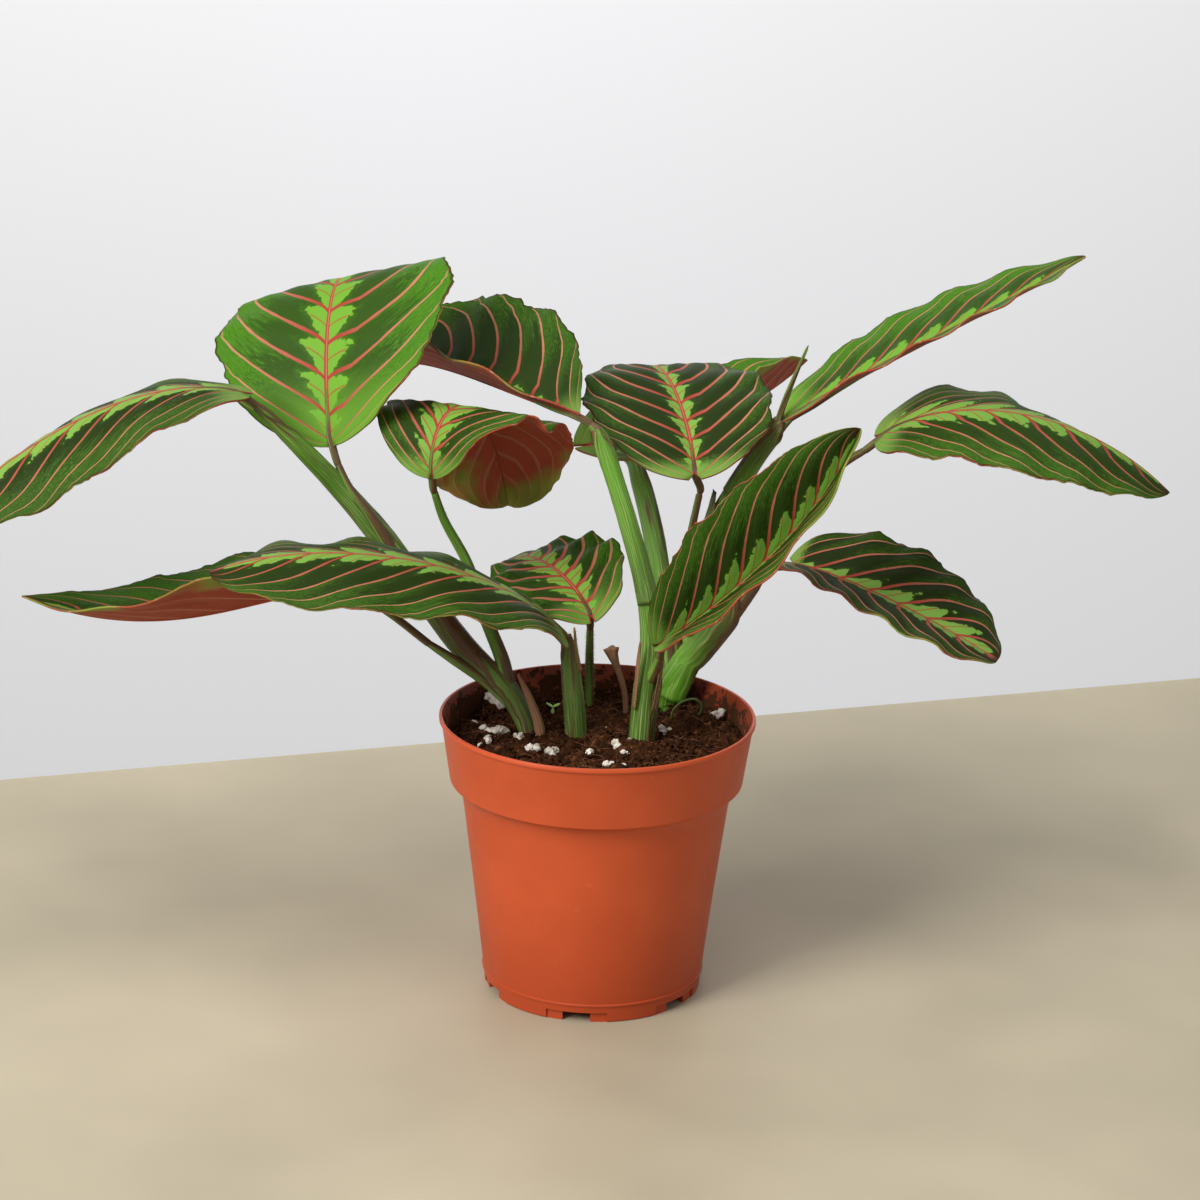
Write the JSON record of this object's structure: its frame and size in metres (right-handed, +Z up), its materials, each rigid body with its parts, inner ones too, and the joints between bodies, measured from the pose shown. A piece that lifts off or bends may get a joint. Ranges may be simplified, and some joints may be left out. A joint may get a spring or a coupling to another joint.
{
  "type": "potted prayer plant",
  "caption": "Young prayer plant with patterned, red-veined oval leaves on sheathed stems, in peat soil in a plain moulded nursery pot.",
  "frame": {"origin": "centre of the flat underside of the pot, on the surface that it stands on", "axes": "+Z up, -Y towards the viewer of the picture, +X to the right, along the plant's longest reach"},
  "size_m": [0.3923, 0.1789, 0.2331],
  "materials": {
    "pot_plastic": "moulded polypropylene, terracotta orange, satin",
    "peat_soil": "moist dark peat potting mix with crumbs and fibres, matt",
    "leaf_blade": "living leaf, satin, striated green with red veins, brown-red underside",
    "stem": "living stem, fine ribs and hairs, green with brown-purple flush",
    "sprout": "young living leaf, fresh green, satin",
    "dry_husk": "dried papery leaf sheath, matt"
  },
  "bodies": {
    "root": {"pot": "pot_plastic", "soil": "peat_soil", "shoot_left": "stem", "leaf_far_left": "leaf_blade", "leaf_upper_left": "leaf_blade", "leaf_folded": "leaf_blade", "leaf_low_behind": "leaf_blade", "shoot_low": "stem", "leaf_long_low": "leaf_blade", "shoot_small": "stem", "leaf_small": "leaf_blade", "shoot_front": "stem", "leaf_upper_middle": "leaf_blade", "leaf_front_right": "leaf_blade", "shoot_right": "stem", "leaf_lower_right": "leaf_blade", "leaf_upper_right": "leaf_blade", "leaf_right": "leaf_blade", "leaf_centre": "leaf_blade", "leaf_behind": "leaf_blade", "new_leaf": "sprout", "dry_stub": "dry_husk", "dry_sheath": "dry_husk", "seedling": "sprout"}
  },
  "joints": []
}
